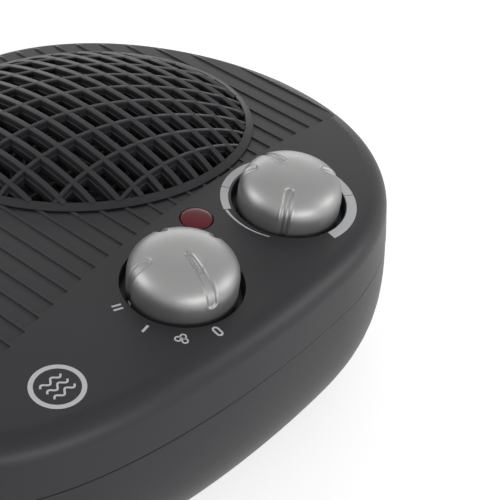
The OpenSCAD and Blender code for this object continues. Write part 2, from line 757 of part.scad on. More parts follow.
// The coil's own least gap is printed, measured between rings one turn apart.
function coil_middle(i) = let (t = 360 * i / coil_rings, r = coil_inner + coil_pitch * i / coil_rings)
    [r * cos(t), r * sin(t)];
module heating_coil() color("#8a7f78") at_grille_axis(coil_z) {
    n = coil_turns * coil_rings;
    least = min([for (i = [0:n - coil_rings]) for (j = [-2:2])
        norm(coil_middle(i) - coil_middle(min(n, i + coil_rings + j))) - 2 * coil_r]);
    echo(str("least gap of the coil to itself, mm: ", least));
    points = [for (i = [0:n]) for (j = [0:coil_sides - 1]) let (t = 360 * i / coil_rings, b = 360 * j / coil_sides,
        r = norm(coil_middle(i)) + coil_r * cos(b)) [r * cos(t), r * sin(t), coil_r * sin(b)]];
    sides = [for (i = [0:n - 1]) for (j = [0:coil_sides - 1]) let (m = (j + 1) % coil_sides)
        [i * coil_sides + j, i * coil_sides + m, (i + 1) * coil_sides + m, (i + 1) * coil_sides + j]];
    first = [for (j = [coil_sides - 1:-1:0]) j];
    last = [for (j = [0:coil_sides - 1]) n * coil_sides + j];
    polyhedron(points, concat([first], sides, [last]));
}

// A cut-out disc against the wall of the duct, and a fuse under one of the boards.
cutout_r = 6;
cutout_t = 3.6;
fuse_r = 2.2;
fuse_l = 12;
module thermal_cutout() color(steel) at_grille_axis(fan_z + fan_h + cutout_r + 3) rotate([0, 0, 45])
    translate([sqrt(duct_r * duct_r - cutout_r * cutout_r) - cutout_t, 0, 0]) rotate([0, 90, 0])
        cylinder(h = cutout_t, r = cutout_r, $fn = 64);
module thermal_fuse() color("#b7b9bb") at_grille_axis(board_z - fuse_r) rotate([0, 90, 0])
    translate([0, 0, coil_inner + 2]) cylinder(h = fuse_l, r = fuse_r, $fn = 48);

block_l = 34;
block_w = 14;
block_h = 12;
poles = 3;
wire_r = 1.6;
block_inside = 45;
block_aside = 10;
block_x = oval_x - foot_reach + block_inside;
block_y = oval_y - block_aside;
module terminal_block() color("#e4e2da") translate([block_x, block_y, wall]) difference() {
    cube([block_l, block_w, block_h]);
    for (i = [0:poles - 1]) translate([block_l * (i + 0.5) / poles, 0, 0]) {
        translate([0, block_w / 2, block_h / 2]) cylinder(h = block_h, r = 2, $fn = 32);
        translate([0, -1, block_h / 2]) rotate([-90, 0, 0]) cylinder(h = block_w + 2, r = wire_r, $fn = 32);
    }
}

front_shell();
rear_shell();
front_grille();
mode_knob();
thermostat_knob();
mode_shaft();
thermostat_shaft();
mode_switch();
thermostat();
control_screws();
indicator_lens();
indicator_lamp();
air_duct();
heater_boards();
heating_coil();
thermal_cutout();
thermal_fuse();
fan_impeller();
motor_axle();
motor_case();
motor_bushes();
motor_bracket();
bracket_screws();
terminal_block();
lead_inlet();
shell_screws();
rubber_feet();
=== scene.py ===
"""Looks of a fan heater that lies on its back: smooth shells, domed grille, knobs and prints.

Shapes are worked out in millimetres, in the frame of the CAD model, and become metres in mesh_piece().
X runs from the foot to the arched top, Y from the controls to the far side, Z out of the face.
"""
import json
import math

import bmesh
import bpy
import numpy as np
from mathutils import Euler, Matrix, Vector


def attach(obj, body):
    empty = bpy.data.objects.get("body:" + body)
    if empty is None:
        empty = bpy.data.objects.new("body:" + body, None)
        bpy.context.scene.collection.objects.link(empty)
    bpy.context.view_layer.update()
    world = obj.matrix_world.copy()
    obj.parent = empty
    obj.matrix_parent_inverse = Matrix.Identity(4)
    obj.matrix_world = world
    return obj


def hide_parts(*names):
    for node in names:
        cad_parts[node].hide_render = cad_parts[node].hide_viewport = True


MM = 0.001
# Sides of the round pieces, from small bores to large rings.
SMALL_SIDES, SIDES, NECK_SIDES, LENS_SIDES, LARGE_SIDES = 32, 48, 64, 96, 128

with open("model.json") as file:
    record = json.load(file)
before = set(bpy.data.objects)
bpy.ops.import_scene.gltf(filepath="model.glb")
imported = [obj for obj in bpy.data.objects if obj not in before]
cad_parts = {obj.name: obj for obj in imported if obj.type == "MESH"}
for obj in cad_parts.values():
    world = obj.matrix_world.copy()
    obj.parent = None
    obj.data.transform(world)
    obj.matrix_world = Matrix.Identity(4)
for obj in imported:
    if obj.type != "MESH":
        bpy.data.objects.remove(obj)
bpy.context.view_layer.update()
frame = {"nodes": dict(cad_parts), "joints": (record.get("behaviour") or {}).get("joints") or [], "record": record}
axis_of = {j["name"]: [1000 * c for c in j["pos_m"]] for j in frame["joints"]}

# Housing outline: an oval about OVAL, cut off by the foot.
TOP_REACH, FOOT_REACH, OVAL_REACH = 96.5, 172.0, 203.0
NEAR_HALF, FAR_HALF = 92.3, 115.5
NEAR_POWERS, FAR_POWERS = (2.2, 2.04), (1.85, 2.2)
FOOT_BLEND = 9.0
FACE_Z = 88.5
PARTING_Z = FACE_Z - 23.0
PARTING_GAP = 0.6
WALL = 2.5
EDGE_R = 10.2
FRONT_DRAFT = 2.2
SIDE_SWELL, SWELL_KEPT = 2.5, 0.8
BACK_R = 39.5
BACK_INSET = 34.5
LIP_H = 5.0
FIT_GAP = 0.3
FOOT_STAND = 1.0
RING_COUNT = 480
SEAM_ROUND = 0.35
BELLY_IN, BELLY_UP = 0.6, 4.0
# Cutting shapes reach this far past the surface that they open.
PAST = 1.0

# Controls, from the joints of the frame.
MODE_X, ROW_Y = axis_of["mode_turn"][:2]
THERMO_X = axis_of["thermostat_turn"][0]
MID_X = (MODE_X + THERMO_X) / 2
GRILLE_X, GRILLE_Y = axis_of["fan_spin"][:2]
KNOBS_BACK, KNOBS_ASIDE = 13.4, 49.8
OVAL = (MID_X + KNOBS_BACK, ROW_Y + KNOBS_ASIDE)
WELL_R = 23.0
WELL_DEPTH = 6.0
WELL_WALL = 1.8
WELL_FLOOR = 2.0
WELL_FILLET = 0.5
WELL_BEVEL = ((0, -0.35), (0.12, -0.12), (0.4, 0.02))
NECK_HOLE_R, NECK_DROP = 4.9, 4.0
LENS_R = 6.3
LENS_AT = (MID_X - 1.6, ROW_Y + 19.1)

# Ribs and sunk panels of the face.
RIB_PITCH = 8.13
RIB_ZERO = MID_X - 7.46
RIB_COUNTS = (-18, 12)
RIB_START, RIB_ARC_R = 29.9, 525.0
PANEL_DEPTH = 0.6
EDGE_DEPTH = 0.1
RIB_EDGES = (0.55, 0.65, 0.8)
END_EDGES = (0.0, 0.12, 0.3)

# Grille.
GRILLE_LONG, GRILLE_SHORT, GRILLE_TURN = 71.9, 56.2, math.radians(148.3)
RIM_W, RIM_H, RIM_OVERHANG = 3.6, 1.6, 1.0
DOME_H = 12.4
BAR_W, CROSS_W, BAR_D, BAR_CROWN = 2.7, 1.8, 5.5, 0.45
LEDGE_W, LEDGE_DROP, LEDGE_FALL = 0.5, 2.5, 0.2
BARS_EACH_WAY, SHORTEST_BAR = 12, 8.0
CROSS_PITCH, CROSS_FIRST, CROSS_COUNT, CROSS_STEEPEST = 14.48, 31.9, 9, 7
CROSS_SLOPE, CROSS_BEND = (0.1, -0.17, 0.0125), -0.0075
CROSS_SEARCH = (-90, 120)
BAR_LIMIT = 0.9
FLAT_FROM, FLAT_DROP = 0.62, 1.1
SKIRT_D = 6.0

# Knobs.
KNOB_R, KNOB_RISE, KNOB_SIDE, KNOB_POWER = 20.6, 15.5, 3.5, 2.6
KNOB_BOTTOM = -5.0
KNOB_WALL = 2.2
SHAFT_R, HUB_R = 3.0, 5.5
KNOB_N, KNOB_SHARP = 400, 50
KNOB_BEVEL = ((0.12, 0.12), (0.4, 0.0))
HOLLOW_SIDE, HOLLOW_SLOPE, HOLLOW_TOP, SHAFT_TOP = 2.0, (4.0, 9.0), 11.0, 8.0
GROOVE_HALF, GROOVE_DEEP, GROOVE_WALL = 2.05, 0.75, 0.75
RAISED_HIGH, RAISED_OFF, RAISED_HALF = 0.14, 0.35, 0.5
ARROW_HIGH, ARROW_TAIL, ARROW_TAIL_HALF, ARROW_TAIL_SOFT = 0.32, (4.2, 10.0), 0.62, 0.3
ARROW_HEAD, ARROW_TIP, ARROW_FLARE, ARROW_HEAD_SOFT = (9.4, 12.6), 12.4, 0.55, 0.35
RIDGE_HIGH, RIDGE_HALF, RIDGE_FADE = 0.42, 0.55, (0.1, 1.0)
NO_END = 99.0
MODE_REST, THERMO_REST = 251.0, 212.0


def span(start, stop, steps):
    return np.linspace(start, stop, steps + 1)


# Outline of the housing.
def rim_point(t):
    """Point of the outline in the direction t from the middle of the oval."""
    s, c = np.sin(t), np.cos(t)
    n = np.where(s > 0, np.where(c > 0, *FAR_POWERS), np.where(c > 0, *NEAR_POWERS))
    a = np.where(c > 0, TOP_REACH, OVAL_REACH)
    b = np.where(s > 0, FAR_HALF, NEAR_HALF)
    oval = ((np.abs(c) / a) ** n + (np.abs(s) / b) ** n) ** (-1 / n)
    r = ((1 / oval) ** FOOT_BLEND + (np.maximum(0, -c) / FOOT_REACH) ** FOOT_BLEND) ** (-1 / FOOT_BLEND)
    return np.stack([OVAL[0] + r * c, OVAL[1] + r * s], -1)


def inward(t):
    """Unit vector across the outline, to the inside."""
    step = math.radians(1)
    d = rim_point(t + step) - rim_point(t - step)
    d /= np.linalg.norm(d, axis=-1, keepdims=True)
    return np.stack([-d[..., 1], d[..., 0]], -1)


def inset_point(t, inset):
    t = np.asarray(t, float)
    return rim_point(t) + inset * inward(t)


def outline_rings(profile):
    """Rings round the housing from (inset, height) pairs."""
    t = span(0, 2 * math.pi, RING_COUNT)[:-1]
    return [np.column_stack([inset_point(t, inset), np.full(RING_COUNT, z)]) for inset, z in profile]


def quarter(size, x0, z0, degrees):
    """Points (inset, height) on a quarter ellipse of this size that starts at (x0, z0)."""
    return [(x0 + size[0] * (1 - math.cos(t)), z0 + size[1] * math.sin(t)) for t in np.radians(degrees)]


# Mesh building. Every function takes millimetres.
def mesh_piece(name, points, faces):
    mesh = bpy.data.meshes.new(name)
    mesh.from_pydata([tuple(MM * c for c in p) for p in points], [], faces)
    obj = bpy.data.objects.new(name, mesh)
    bpy.context.scene.collection.objects.link(obj)
    bm = bmesh.new()
    bm.from_mesh(mesh)
    bmesh.ops.recalc_face_normals(bm, faces=bm.faces)
    bm.to_mesh(mesh)
    bm.free()
    return obj


def skin(name, rings, caps=True, closed=False):
    """A tube through rings of equal length; closed joins the last ring to the first."""
    n, count = len(rings[0]), len(rings)
    last = count if closed else count - 1
    faces = [
        (k * n + i, k * n + (i + 1) % n, (k + 1) % count * n + (i + 1) % n, (k + 1) % count * n + i)
        for k in range(last)
        for i in range(n)
    ]
    if caps and not closed:
        faces += [tuple(range(n)), tuple(range(n * count - n, n * count))]
    return mesh_piece(name, np.concatenate(rings), faces)


def circle(r, n=96):
    t = span(0, 2 * math.pi, n)[:-1]
    return np.column_stack([r * np.cos(t), r * np.sin(t)])


def level(outline, z):
    return np.column_stack([outline, np.full(len(outline), z)])


def prism(name, outline, low, high):
    return skin(name, [level(outline, low), level(outline, high)])


def disc(name, centre, r, low, high, n=96):
    return prism(name, circle(r, n) + np.array(centre), low, high)


def turned(name, profile, centre, n=160):
    """A turned piece from (radius, height) pairs that start and end on the axis."""
    x, y = centre
    ring = circle(1, n)
    inner = profile[1:-1]
    points = [(x, y, profile[0][1])] + [(x + r * u, y + r * v, z) for r, z in inner for u, v in ring]
    points.append((x, y, profile[-1][1]))
    faces = [
        (1 + k * n + i, 1 + k * n + (i + 1) % n, 1 + (k + 1) * n + (i + 1) % n, 1 + (k + 1) * n + i)
        for k in range(len(inner) - 1)
        for i in range(n)
    ]
    top = 1 + (len(inner) - 1) * n
    faces += [(0, 1 + i, 1 + (i + 1) % n) for i in range(n)]
    faces += [(len(points) - 1, top + i, top + (i + 1) % n) for i in range(n)]
    return mesh_piece(name, points, faces)


def combine(target, tool, operation):
    """Joins tool to target, or cuts it off, and takes the tool away."""
    modifier = target.modifiers.new("combine", "BOOLEAN")
    modifier.object, modifier.operation, modifier.solver = tool, operation, "MANIFOLD"
    made = bpy.data.meshes.new_from_object(target.evaluated_get(bpy.context.evaluated_depsgraph_get()))
    target.modifiers.clear()
    old, target.data = target.data, made
    bpy.data.meshes.remove(old)
    spent = tool.data
    bpy.data.objects.remove(tool)
    bpy.data.meshes.remove(spent)


def add(target, tool):
    combine(target, tool, "UNION")


def cut(target, tool):
    combine(target, tool, "DIFFERENCE")


def finish_piece(obj, body, material, nodes=(), sharp=30):
    """Gives a piece its look and smooth shading, ties it to its body, and hides the CAD nodes that it replaces."""
    obj.data.materials.clear()
    obj.data.materials.append(material)
    obj.data.shade_smooth()
    obj.data.set_sharp_from_angle(angle=math.radians(sharp))
    weighted = obj.modifiers.new("weighted", "WEIGHTED_NORMAL")
    weighted.keep_sharp = True
    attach(obj, body)
    if nodes:
        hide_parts(*nodes)
    return obj


# Materials.
FINE_DETAIL = 3.0
MOTTLE_SCALE, MOTTLE_DETAIL = 35.0, 2.0
COAT_ROUGHNESS = 0.25
ROUGHNESS_SWING = 0.04


def surface(name, color, roughness, metallic=0.0, grain=900.0, bump=0.05, bump_mm=0.02,
            mottle=0.06, coat=0.0, specular=0.5, transmission=0.0, ior=1.5):
    """Moulded or metal surface: fine grain in the bump, slow mottling in colour and roughness."""
    material = bpy.data.materials.new(name)
    material.use_nodes = True
    nodes, links = material.node_tree.nodes, material.node_tree.links
    shader = nodes["Principled BSDF"]
    shader.inputs["Metallic"].default_value = metallic
    shader.inputs["Coat Weight"].default_value = coat
    shader.inputs["Coat Roughness"].default_value = COAT_ROUGHNESS
    shader.inputs["Specular IOR Level"].default_value = specular
    shader.inputs["Transmission Weight"].default_value = transmission
    shader.inputs["IOR"].default_value = ior
    place = nodes.new("ShaderNodeTexCoord")
    fine = nodes.new("ShaderNodeTexNoise")
    fine.inputs["Scale"].default_value = grain
    fine.inputs["Detail"].default_value = FINE_DETAIL
    slow = nodes.new("ShaderNodeTexNoise")
    slow.inputs["Scale"].default_value = MOTTLE_SCALE
    slow.inputs["Detail"].default_value = MOTTLE_DETAIL
    for noise in (fine, slow):
        links.new(place.outputs["Object"], noise.inputs["Vector"])
    tones = nodes.new("ShaderNodeMix")
    tones.data_type = "RGBA"
    tones.inputs["A"].default_value = (*[c * (1 - mottle) for c in color], 1)
    tones.inputs["B"].default_value = (*[min(1, c * (1 + mottle)) for c in color], 1)
    links.new(slow.outputs["Fac"], tones.inputs["Factor"])
    links.new(tones.outputs["Result"], shader.inputs["Base Color"])
    polish = nodes.new("ShaderNodeMapRange")
    polish.inputs["To Min"].default_value = roughness - ROUGHNESS_SWING
    polish.inputs["To Max"].default_value = roughness + ROUGHNESS_SWING
    links.new(fine.outputs["Fac"], polish.inputs["Value"])
    links.new(polish.outputs["Result"], shader.inputs["Roughness"])
    relief = nodes.new("ShaderNodeBump")
    relief.inputs["Strength"].default_value = bump
    relief.inputs["Distance"].default_value = MM * bump_mm
    links.new(fine.outputs["Fac"], relief.inputs["Height"])
    links.new(relief.outputs["Normal"], shader.inputs["Normal"])
    return material


shell_look = surface("shell_plastic", (0.0235, 0.0215, 0.0245), 0.42, grain=1400, bump=0.25, specular=0.28)
silver_look = surface("knob_silver", (0.29, 0.29, 0.288), 0.45, metallic=0.85, grain=1800, bump=0.4,
                      mottle=0.05)
print_look = surface("print_grey", (0.60, 0.61, 0.63), 0.55, grain=1200, bump=0.1, mottle=0.03)
lens_look = surface("lens_red", (0.15, 0.006, 0.012), 0.25, grain=500, specular=0.2, transmission=0.1)
looks = {
    "inner_plastic": surface("inner_plastic", (0.012, 0.012, 0.012), 0.55),
    "pale_plastic": surface("pale_plastic", (0.50, 0.49, 0.45), 0.5),
    "lamp_glass": surface("lamp_glass", (0.70, 0.45, 0.32), 0.12, coat=0.4),
    "sheet_steel": surface("sheet_steel", (0.42, 0.43, 0.44), 0.36, metallic=0.95, grain=700, bump=0.2),
    "brass": surface("sintered_brass", (0.50, 0.36, 0.15), 0.42, metallic=0.9, bump=0.3),
    # Mica boards and coil wire are coloured darker than they really are: painted shade of the insides behind the
    # grille.
    "mica": surface("mica", (0.10, 0.095, 0.08), 0.5, grain=300, mottle=0.2),
    "coil_wire": surface("coil_wire", (0.07, 0.065, 0.06), 0.45, metallic=0.8, grain=2500, bump=0.6),
    "fan_plastic": surface("fan_plastic", (0.08, 0.08, 0.085), 0.5),
    "rubber": surface("rubber", (0.012, 0.012, 0.012), 0.75, grain=600, bump=0.5),
    "shell_plastic": shell_look,
    "knob_silver": silver_look,
    "lens_red": lens_look,
}
for part in frame["record"]["subparts"]:
    carried = frame["nodes"][part["node"]].data
    carried.materials.clear()
    carried.materials.append(looks[part["material_slot"]])


# Front housing: a smooth shell whose face carries ribs between sunk panels.
def drop_beyond(distance, edges):
    """Depth of a panel at a distance beyond the line where it starts."""
    return np.interp(distance, edges, (0, EDGE_DEPTH, PANEL_DEPTH))


def panel_start(k):
    """Where panel k begins, on the arc that bounds the ribs beside the knobs."""
    x = (k + 0.5) * RIB_PITCH
    return ROW_Y + RIB_START + math.sqrt(RIB_ARC_R**2 - x * x) - RIB_ARC_R


def panel_drop(x, y):
    """Depth of the face below its ribs at a place."""
    k = math.floor((x - RIB_ZERO) / RIB_PITCH)
    if not RIB_COUNTS[0] <= k <= RIB_COUNTS[1]:
        return 0.0
    off = (x - RIB_ZERO) / RIB_PITCH - k
    from_rib = min(off, 1 - off) * RIB_PITCH
    return min(drop_beyond(from_rib, RIB_EDGES), drop_beyond(y - panel_start(k), END_EDGES))


MERGE_DISTANCE = 1e-7
SLICE_MARGIN = 0.01
DEPTH_MARGIN = 0.05
FACES_UP = 0.1


def slice_faces(bm, faces, place, normal):
    geom = set(faces)
    for f in faces:
        geom.update(f.edges)
        geom.update(f.verts)
    bmesh.ops.bisect_plane(bm, geom=list(geom), dist=MERGE_DISTANCE, plane_co=place, plane_no=normal)


def carve_panels(obj):
    """Cuts the face along the edges of the panels, then sinks every corner to its depth."""
    bm = bmesh.new()
    bm.from_mesh(obj.data)
    low = MM * (FACE_Z - PANEL_DEPTH - DEPTH_MARGIN)

    def top_faces():
        return [f for f in bm.faces if max(v.co.z for v in f.verts) > low and f.normal.z > FACES_UP]

    for k in range(RIB_COUNTS[0], RIB_COUNTS[1] + 2):
        for side in (-1, 1):
            for edge in RIB_EDGES:
                x = MM * (RIB_ZERO + k * RIB_PITCH + side * edge)
                near = [f for f in top_faces()
                        if min(v.co.x for v in f.verts) < x < max(v.co.x for v in f.verts)]
                if near:
                    slice_faces(bm, near, (x, 0, 0), (1, 0, 0))
    for k in range(RIB_COUNTS[0], RIB_COUNTS[1] + 1):
        left = MM * (RIB_ZERO + k * RIB_PITCH + RIB_EDGES[0] - SLICE_MARGIN)
        right = MM * (RIB_ZERO + (k + 1) * RIB_PITCH - RIB_EDGES[0] + SLICE_MARGIN)
        for edge in END_EDGES:
            y = MM * (panel_start(k) + edge)
            near = [f for f in top_faces()
                    if min(v.co.x for v in f.verts) > left and max(v.co.x for v in f.verts) < right
                    and min(v.co.y for v in f.verts) < y < max(v.co.y for v in f.verts)]
            if near:
                slice_faces(bm, near, (0, y, 0), (0, 1, 0))
    for v in bm.verts:
        if v.co.z > low:
            v.co.z = min(v.co.z, MM * (FACE_Z - panel_drop(v.co.x / MM, v.co.y / MM)))
    bmesh.ops.recalc_face_normals(bm, faces=bm.faces)
    bm.to_mesh(obj.data)
    bm.free()


def fillet_degrees(*depths):
    """Angles of the edge rounding, with a ring at each of these depths under the face."""
    exact = [math.degrees(math.asin(1 - d / EDGE_R)) for d in depths]
    return sorted([*range(10, 91, 5), *exact])


EDGE_Z = FACE_Z - EDGE_R
POST_ANGLES = (2, 128, 170, 206, 262, 322)
POST_INSET, POST_R, SCREW_R, POST_BORE_RISE = 26.0, 4.5, 1.6, 8.0
LENS_SEAT_WALL, LENS_SEAT_DROP = 2.5, 6.0
LENS_POCKET_R, LENS_POCKET_TOP, LENS_POCKET_LOW = LENS_R + 1.5, FACE_Z - 2, FACE_Z - 7
LENS_BEVEL, LENS_BEVEL_TOP = 0.25, 0.02
post_places = [inset_point(math.radians(a), POST_INSET) for a in POST_ANGLES]


def grille_outline(inset, n=288):
    """The grille's edge seen from above, drawn in by inset."""
    t = span(0, 2 * math.pi, n)[:-1]
    p, q = (GRILLE_LONG - inset) * np.cos(t), (GRILLE_SHORT - inset) * np.sin(t)
    c, s = math.cos(GRILLE_TURN), math.sin(GRILLE_TURN)
    return np.column_stack([GRILLE_X + p * c - q * s, GRILLE_Y + p * s + q * c])


front = skin("front_housing", outline_rings(
    [(SEAM_ROUND, PARTING_Z), (0, PARTING_Z + SEAM_ROUND), (BELLY_IN, PARTING_Z + BELLY_UP)]
    + quarter((EDGE_R, EDGE_R), FRONT_DRAFT, EDGE_Z, fillet_degrees(EDGE_DEPTH, PANEL_DEPTH))))
carve_panels(front)
inner_r = EDGE_R - WALL
cut(front, skin("hollow", outline_rings(
    [(WALL, PARTING_Z - PAST)] + quarter((inner_r, inner_r), FRONT_DRAFT + WALL, EDGE_Z, range(10, 91, 10)))))
floor_z = FACE_Z - WELL_DEPTH
wells = [(MODE_X, ROW_Y), (THERMO_X, ROW_Y)]
for place in wells:
    add(front, disc("cup", place, WELL_R + WELL_WALL, floor_z - WELL_FLOOR, FACE_Z - WALL / 2))
for place in post_places:
    add(front, disc("post", place, POST_R, PARTING_Z - LIP_H, FACE_Z - WALL / 2, SIDES))
add(front, disc("seat", LENS_AT, LENS_R + LENS_SEAT_WALL, FACE_Z - LENS_SEAT_DROP, FACE_Z - WALL / 2))
well_side = [(WELL_R + out, FACE_Z + up) for out, up in WELL_BEVEL]
well_profile = [(0, floor_z), (WELL_R - WELL_FILLET, floor_z), (WELL_R, floor_z + WELL_FILLET), *well_side,
                (well_side[-1][0], FACE_Z + PAST), (0, FACE_Z + PAST)]
for place in wells:
    cut(front, turned("well", well_profile, place))
    cut(front, disc("neck", place, NECK_HOLE_R, floor_z - NECK_DROP, floor_z + PAST, NECK_SIDES))
for place in post_places:
    cut(front, disc("bore", place, SCREW_R, PARTING_Z - LIP_H - PAST, PARTING_Z + POST_BORE_RISE,
                    SMALL_SIDES))
lens_bore = LENS_R + FIT_GAP
cut(front, turned("lens_hole", [
    (0, LENS_POCKET_LOW), (LENS_POCKET_R, LENS_POCKET_LOW), (LENS_POCKET_R, LENS_POCKET_TOP),
    (lens_bore, LENS_POCKET_TOP), (lens_bore, FACE_Z - LENS_BEVEL),
    (lens_bore + LENS_BEVEL, FACE_Z + LENS_BEVEL_TOP), (lens_bore + LENS_BEVEL, FACE_Z + PAST),
    (0, FACE_Z + PAST)], LENS_AT, LENS_SIDES))
cut(front, prism("opening", grille_outline(RIM_W - RIM_OVERHANG), FACE_Z - WALL - PAST, FACE_Z + PAST))
finish_piece(front, "housing", shell_look, ["front_shell"])

# Rear housing: a bowl with a centring lip, posts, intake slots and feet bosses.
REAR_TOP = PARTING_Z - PARTING_GAP
HOLLOW_EASE = 4.0
LIP_WALL, LIP_ROOT = 1.4, 0.4
LIP_ROOT_TOP, LIP_ROOT_SLOPE, LIP_ROOT_LOW = REAR_TOP - 1, REAR_TOP - 2, REAR_TOP - 4
SCREW_HEAD_R, SCREW_HEAD_DEEP = 3.4, 12.0
DUCT_OUT, DUCT_SEAT_WALL, DUCT_SEAT_LOW, DUCT_SEAT_HIGH = 46.0, 2.0, 4.0, 7.0
INTAKE_OPEN_R = 41.0
SLOT_W, SLOT_PITCH, SLOTS_EACH_WAY, INTAKE_R, SPINE = 4.0, 7.4, 5, 40.0, 4.0
INLET_TURN, INLET_Z, INLET_R = math.radians(140), BACK_R + 2, 6.2
INLET_CUT = (-4, 12)
rear = skin("rear_housing", outline_rings(
    quarter((BACK_INSET, -BACK_R), -SIDE_SWELL, BACK_R, range(90, -1, -6))
    + [(-SIDE_SWELL * math.cos(math.pi / 2 * s), BACK_R + (REAR_TOP - SEAM_ROUND - BACK_R) * s)
       for s in span(0.1, 1, 9)]
    + [(SEAM_ROUND, REAR_TOP)]))
cut(rear, skin("hollow", outline_rings(
    quarter((BACK_INSET - WALL / 2, WALL - BACK_R), WALL - SIDE_SWELL, BACK_R, range(90, -1, -10))
    + [(WALL - SIDE_SWELL * SWELL_KEPT, BACK_R + HOLLOW_EASE), (WALL, REAR_TOP - HOLLOW_EASE),
       (WALL, REAR_TOP + PAST)])))
lip_in = WALL + FIT_GAP
lip_lean = (LIP_H - PARTING_GAP) * FRONT_DRAFT / (EDGE_Z - PARTING_Z)
add(rear, skin("lip", outline_rings(
    [(lip_in + lip_lean, REAR_TOP + LIP_H), (lip_in, REAR_TOP), (WALL - LIP_ROOT, LIP_ROOT_TOP),
     (WALL - LIP_ROOT, LIP_ROOT_LOW), (lip_in + LIP_WALL, LIP_ROOT_SLOPE),
     (lip_in + lip_lean + LIP_WALL, REAR_TOP + LIP_H)]), closed=True))
for place in post_places:
    add(rear, disc("post", place, POST_R, WALL / 2, PARTING_Z - LIP_H - FIT_GAP, SIDES))
grille_at = (GRILLE_X, GRILLE_Y)
add(rear, disc("seat", grille_at, DUCT_OUT + FIT_GAP + DUCT_SEAT_WALL, WALL / 2, DUCT_SEAT_HIGH, LARGE_SIDES))

FOOT_X = float(rim_point(np.array(math.pi))[0]) - SIDE_SWELL - FOOT_STAND
FOOT_Z, FOOT_LEN, FOOT_R, FOOT_SPREAD, FOOT_SHIFT = 34.0, 22.0, 5.0, 38.0, 8.0
FOOT_BOSS_WALL, FOOT_BOSS_DEEP = 2.0, 7.0


def foot_pad(name, side, r, low, high):
    """A long pad across the foot, standing along X from low to high, measured inwards."""
    t = span(0, math.pi, 24)
    outline = [(r * math.cos(a), FOOT_Z + FOOT_LEN + r * math.sin(a)) for a in t]
    outline += [(-r * math.cos(a), FOOT_Z - r * math.sin(a)) for a in t]
    y = OVAL[1] + FOOT_SHIFT + side * FOOT_SPREAD
    return skin(name, [np.array([(FOOT_X + x, y + u, v) for u, v in outline]) for x in (low, high)])


for side in (-1, 1):
    add(rear, foot_pad("boss", side, FOOT_R + FOOT_BOSS_WALL, 0, FOOT_BOSS_DEEP))
for place in post_places:
    cut(rear, disc("bore", place, SCREW_R + FIT_GAP, -PAST, PARTING_Z, SMALL_SIDES))
    cut(rear, disc("head", place, SCREW_HEAD_R, -PAST, SCREW_HEAD_DEEP, SIDES))
cut(rear, disc("duct_seat", grille_at, DUCT_OUT + FIT_GAP, DUCT_SEAT_LOW, DUCT_SEAT_HIGH + PAST, LARGE_SIDES))
cut(rear, disc("intake", grille_at, INTAKE_OPEN_R, WALL, DUCT_SEAT_HIGH + PAST, LARGE_SIDES))
for k in range(-SLOTS_EACH_WAY, SLOTS_EACH_WAY + 1):
    x = GRILLE_X + k * SLOT_PITCH
    reach = math.sqrt(INTAKE_R**2 - (k * SLOT_PITCH) ** 2)
    for side in (-1, 1):
        ends = sorted((GRILLE_Y + side * SPINE / 2, GRILLE_Y + side * reach))
        outline = [(x - SLOT_W / 2, ends[0]), (x + SLOT_W / 2, ends[0]), (x + SLOT_W / 2, ends[1]),
                   (x - SLOT_W / 2, ends[1])]
        cut(rear, prism("slot", np.array(outline), -PAST, WALL + PAST))
inlet_axis = np.append(inward(np.array(INLET_TURN)), 0)
inlet_mouth = np.append(inset_point(INLET_TURN, -SIDE_SWELL), INLET_Z)
across = np.array([-inlet_axis[1], inlet_axis[0], 0])
cut(rear, skin("inlet", [np.array([inlet_mouth + d * inlet_axis + u * across + np.array([0, 0, v])
                                   for u, v in circle(INLET_R, SIDES)]) for d in INLET_CUT]))
for side in (-1, 1):
    cut(rear, foot_pad("foot_seat", side, FOOT_R + FIT_GAP, -PAST, FOOT_STAND))
finish_piece(rear, "housing", shell_look, ["rear_shell"])


# Grille: bars that follow the dome, with rounded crowns and a ledge on each flank.
def grille_rho(x, y):
    """0 in the middle of the grille, and 1 on its edge."""
    c, s = math.cos(GRILLE_TURN), math.sin(GRILLE_TURN)
    along = (x - GRILLE_X) * c + (y - GRILLE_Y) * s
    over = (y - GRILLE_Y) * c - (x - GRILLE_X) * s
    return (along / GRILLE_LONG) ** 2 + (over / GRILLE_SHORT) ** 2


def dome_z(x, y):
    """Crown of the bars, which flattens near the rim so that they end flush with it."""
    rho = grille_rho(x, y)
    flat = FLAT_DROP * np.maximum(0, (rho - FLAT_FROM) / (BAR_LIMIT - FLAT_FROM)) ** 2
    return FACE_Z + RIM_H + DOME_H * np.maximum(0, 1 - rho) - flat


def bar_section(width):
    """A bar's section as (side, drop): down one flank from the crown, and up the other."""
    half = width / 2
    flat = half - BAR_CROWN
    arc = [(flat + BAR_CROWN * math.sin(a), BAR_CROWN - BAR_CROWN * math.cos(a))
           for a in np.radians((0, 30, 60, 90))]
    flank = [(half, LEDGE_DROP), (half + LEDGE_W, LEDGE_DROP + LEDGE_FALL), (half + LEDGE_W, BAR_D)]
    side = arc + flank
    return side + [(-s, d) for s, d in reversed(side)]


def bar(path, width):
    """A bar along a path seen from above, with its crown on the dome."""
    path = np.asarray(path)
    d = np.gradient(path, axis=0)
    d /= np.linalg.norm(d, axis=1, keepdims=True)
    across = np.stack([d[:, 1], -d[:, 0]], 1)
    top = dome_z(path[:, 0], path[:, 1])
    section = bar_section(width)
    return skin("bar", [np.array([(*(p + s * a), z - drop) for s, drop in section])
                        for p, a, z in zip(path, across, top)])


